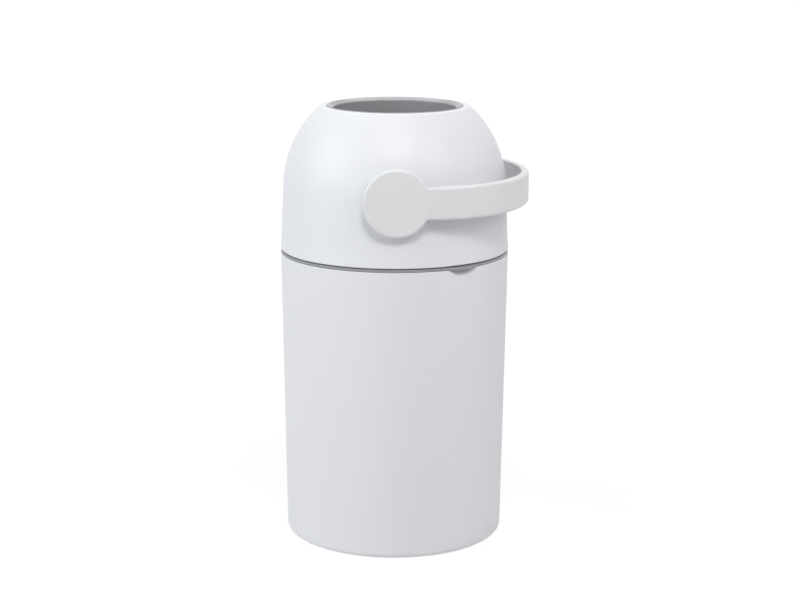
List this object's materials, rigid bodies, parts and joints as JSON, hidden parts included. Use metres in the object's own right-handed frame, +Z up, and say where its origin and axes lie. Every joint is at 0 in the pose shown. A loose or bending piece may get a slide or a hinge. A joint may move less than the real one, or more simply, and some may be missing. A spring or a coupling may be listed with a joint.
{
  "type": "nappy bin",
  "caption": "Drum-type nappy bin: tapered bucket, hinged domed lid with a round mouth, and a ball-shaped drum with a sliding piston, turned over by a U-shaped handle.",
  "frame": {"origin": "centre of the bucket's base, on the floor and on the bin's axis", "axes": "+Z up; the drum and handle turn about an axis parallel to Y at height 0.436 m; at rest the handle lies towards +X; the camera looked about along +Y"},
  "size_m": [0.3038, 0.298, 0.5333],
  "materials": {
    "white_shell": "satin moulded",
    "white_bucket": "fine satin moulded",
    "pale_grey_handle": "satin moulded",
    "grey_frame": "satin moulded",
    "grey_collar": "glossy moulded",
    "drum_plastic": "satin moulded",
    "piston_plastic": "satin moulded",
    "bush_plastic": "smooth",
    "seal_rubber": "matte",
    "zinc_steel": "zinc plated"
  },
  "bodies": {
    "bucket": {"bucket": "white_bucket", "bag_ring": "grey_frame", "hinge_pin": "zinc_steel"},
    "lid": {"lid_base": "grey_frame", "lower_seal": "seal_rubber", "dome": "white_shell", "opening_ring": "grey_collar", "upper_seal": "seal_rubber", "right_bush": "bush_plastic", "left_bush": "bush_plastic", "dome_screws": "zinc_steel", "collar_screws": "zinc_steel"},
    "drum": {"drum_upper_shell": "drum_plastic", "drum_lower_shell": "drum_plastic", "cup_liner": "drum_plastic", "cup_upper_ring": "drum_plastic", "cup_lower_ring": "drum_plastic", "right_hub": "drum_plastic", "left_hub": "drum_plastic", "hub_screws": "zinc_steel", "handle": "pale_grey_handle", "handle_screws": "zinc_steel"},
    "piston": {"piston_upper": "piston_plastic", "piston_lower": "piston_plastic", "piston_wiper": "seal_rubber", "piston_screws": "zinc_steel"}
  },
  "joints": [
    {"name": "lid_hinge", "type": "hinge", "parent": "bucket", "child": "lid", "pos_m": [-0.08368, 0.12086, 0.35], "axis": [-0.8221, -0.5693, 0], "range_deg": [0, 75]},
    {"name": "drum_turn", "type": "hinge", "parent": "lid", "child": "drum", "pos_m": [0, 0, 0.436], "axis": [0, -1, 0], "range_deg": [0, 180]},
    {"name": "piston_slide", "type": "slide", "parent": "drum", "child": "piston", "axis": [0, 0, 1], "range_m": [0, 0.0876]}
  ]
}
